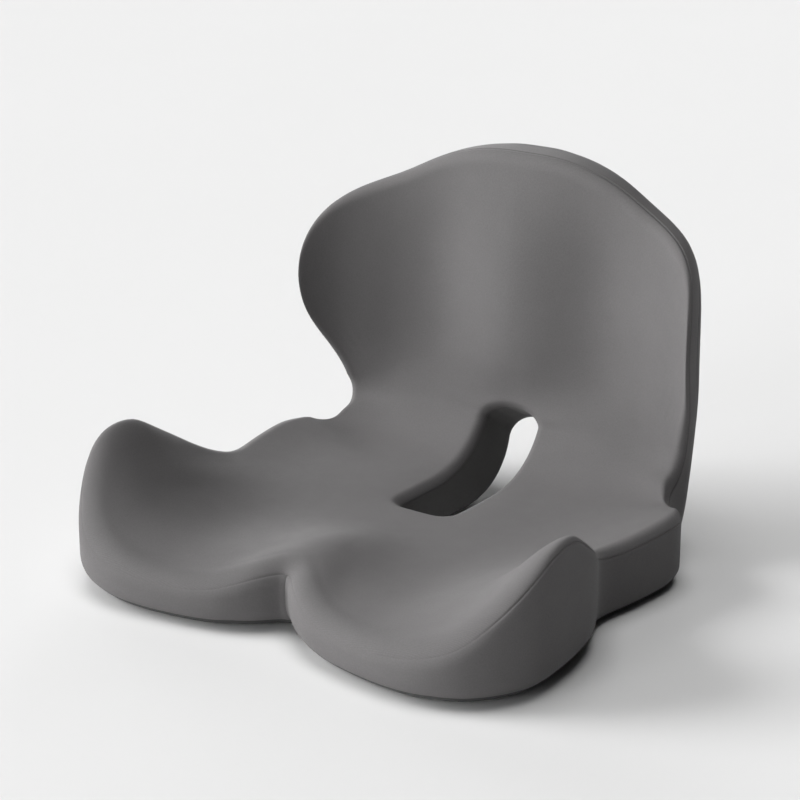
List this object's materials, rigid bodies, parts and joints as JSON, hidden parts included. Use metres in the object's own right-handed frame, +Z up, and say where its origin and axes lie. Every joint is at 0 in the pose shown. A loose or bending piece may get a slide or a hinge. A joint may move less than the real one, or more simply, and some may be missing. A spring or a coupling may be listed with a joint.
{
  "type": "seat cushion with backrest",
  "caption": "Ergonomic seat cushion with raised thigh wings, a tailbone slot and a wrapping backrest, moulded in foam under a zipped fabric cover.",
  "frame": {"origin": "centre of the cushion's footprint on the surface it stands on, under the middle of its box", "axes": "+Z up, +X towards the sitter's left, -Y towards the front edge that the sitter faces, +Y towards the chair's back"},
  "size_m": [0.4344, 0.4108, 0.315],
  "materials": {
    "foam": "matte",
    "knit_fabric": "matte",
    "sleeve_fabric": "matte",
    "grip_fabric": "matte",
    "closure_tape": "matte",
    "zip_tape": "matte",
    "zip_coil": "satin",
    "zip_metal": "satin"
  },
  "bodies": {
    "cushion": {"foam_core": "foam", "top_panel": "knit_fabric", "side_band_left": "knit_fabric", "side_band_right": "knit_fabric", "back_panel_left": "knit_fabric", "back_panel_right": "knit_fabric", "base_panel": "grip_fabric", "slot_sleeve": "sleeve_fabric", "closure_loop_tape": "closure_tape", "closure_hook_tape": "closure_tape", "zip_tape_left": "zip_tape", "zip_tape_right": "zip_tape", "zip_teeth_left": "zip_coil", "zip_teeth_right": "zip_coil", "zip_bottom_stop": "zip_coil", "zip_top_stop": "zip_coil"},
    "zip_slider": {"zip_slider": "zip_metal"},
    "zip_pull": {"zip_pull": "zip_metal"}
  },
  "joints": [
    {"name": "zip_slide", "type": "slide", "parent": "cushion", "child": "zip_slider", "axis": [0, 0, 1], "range_m": [0, 0.163]},
    {"name": "zip_pull_hinge", "type": "hinge", "parent": "zip_slider", "child": "zip_pull", "pos_m": [0, 0.203, 0.1155], "axis": [1, 0, 0], "range_deg": [-4, 184]}
  ]
}
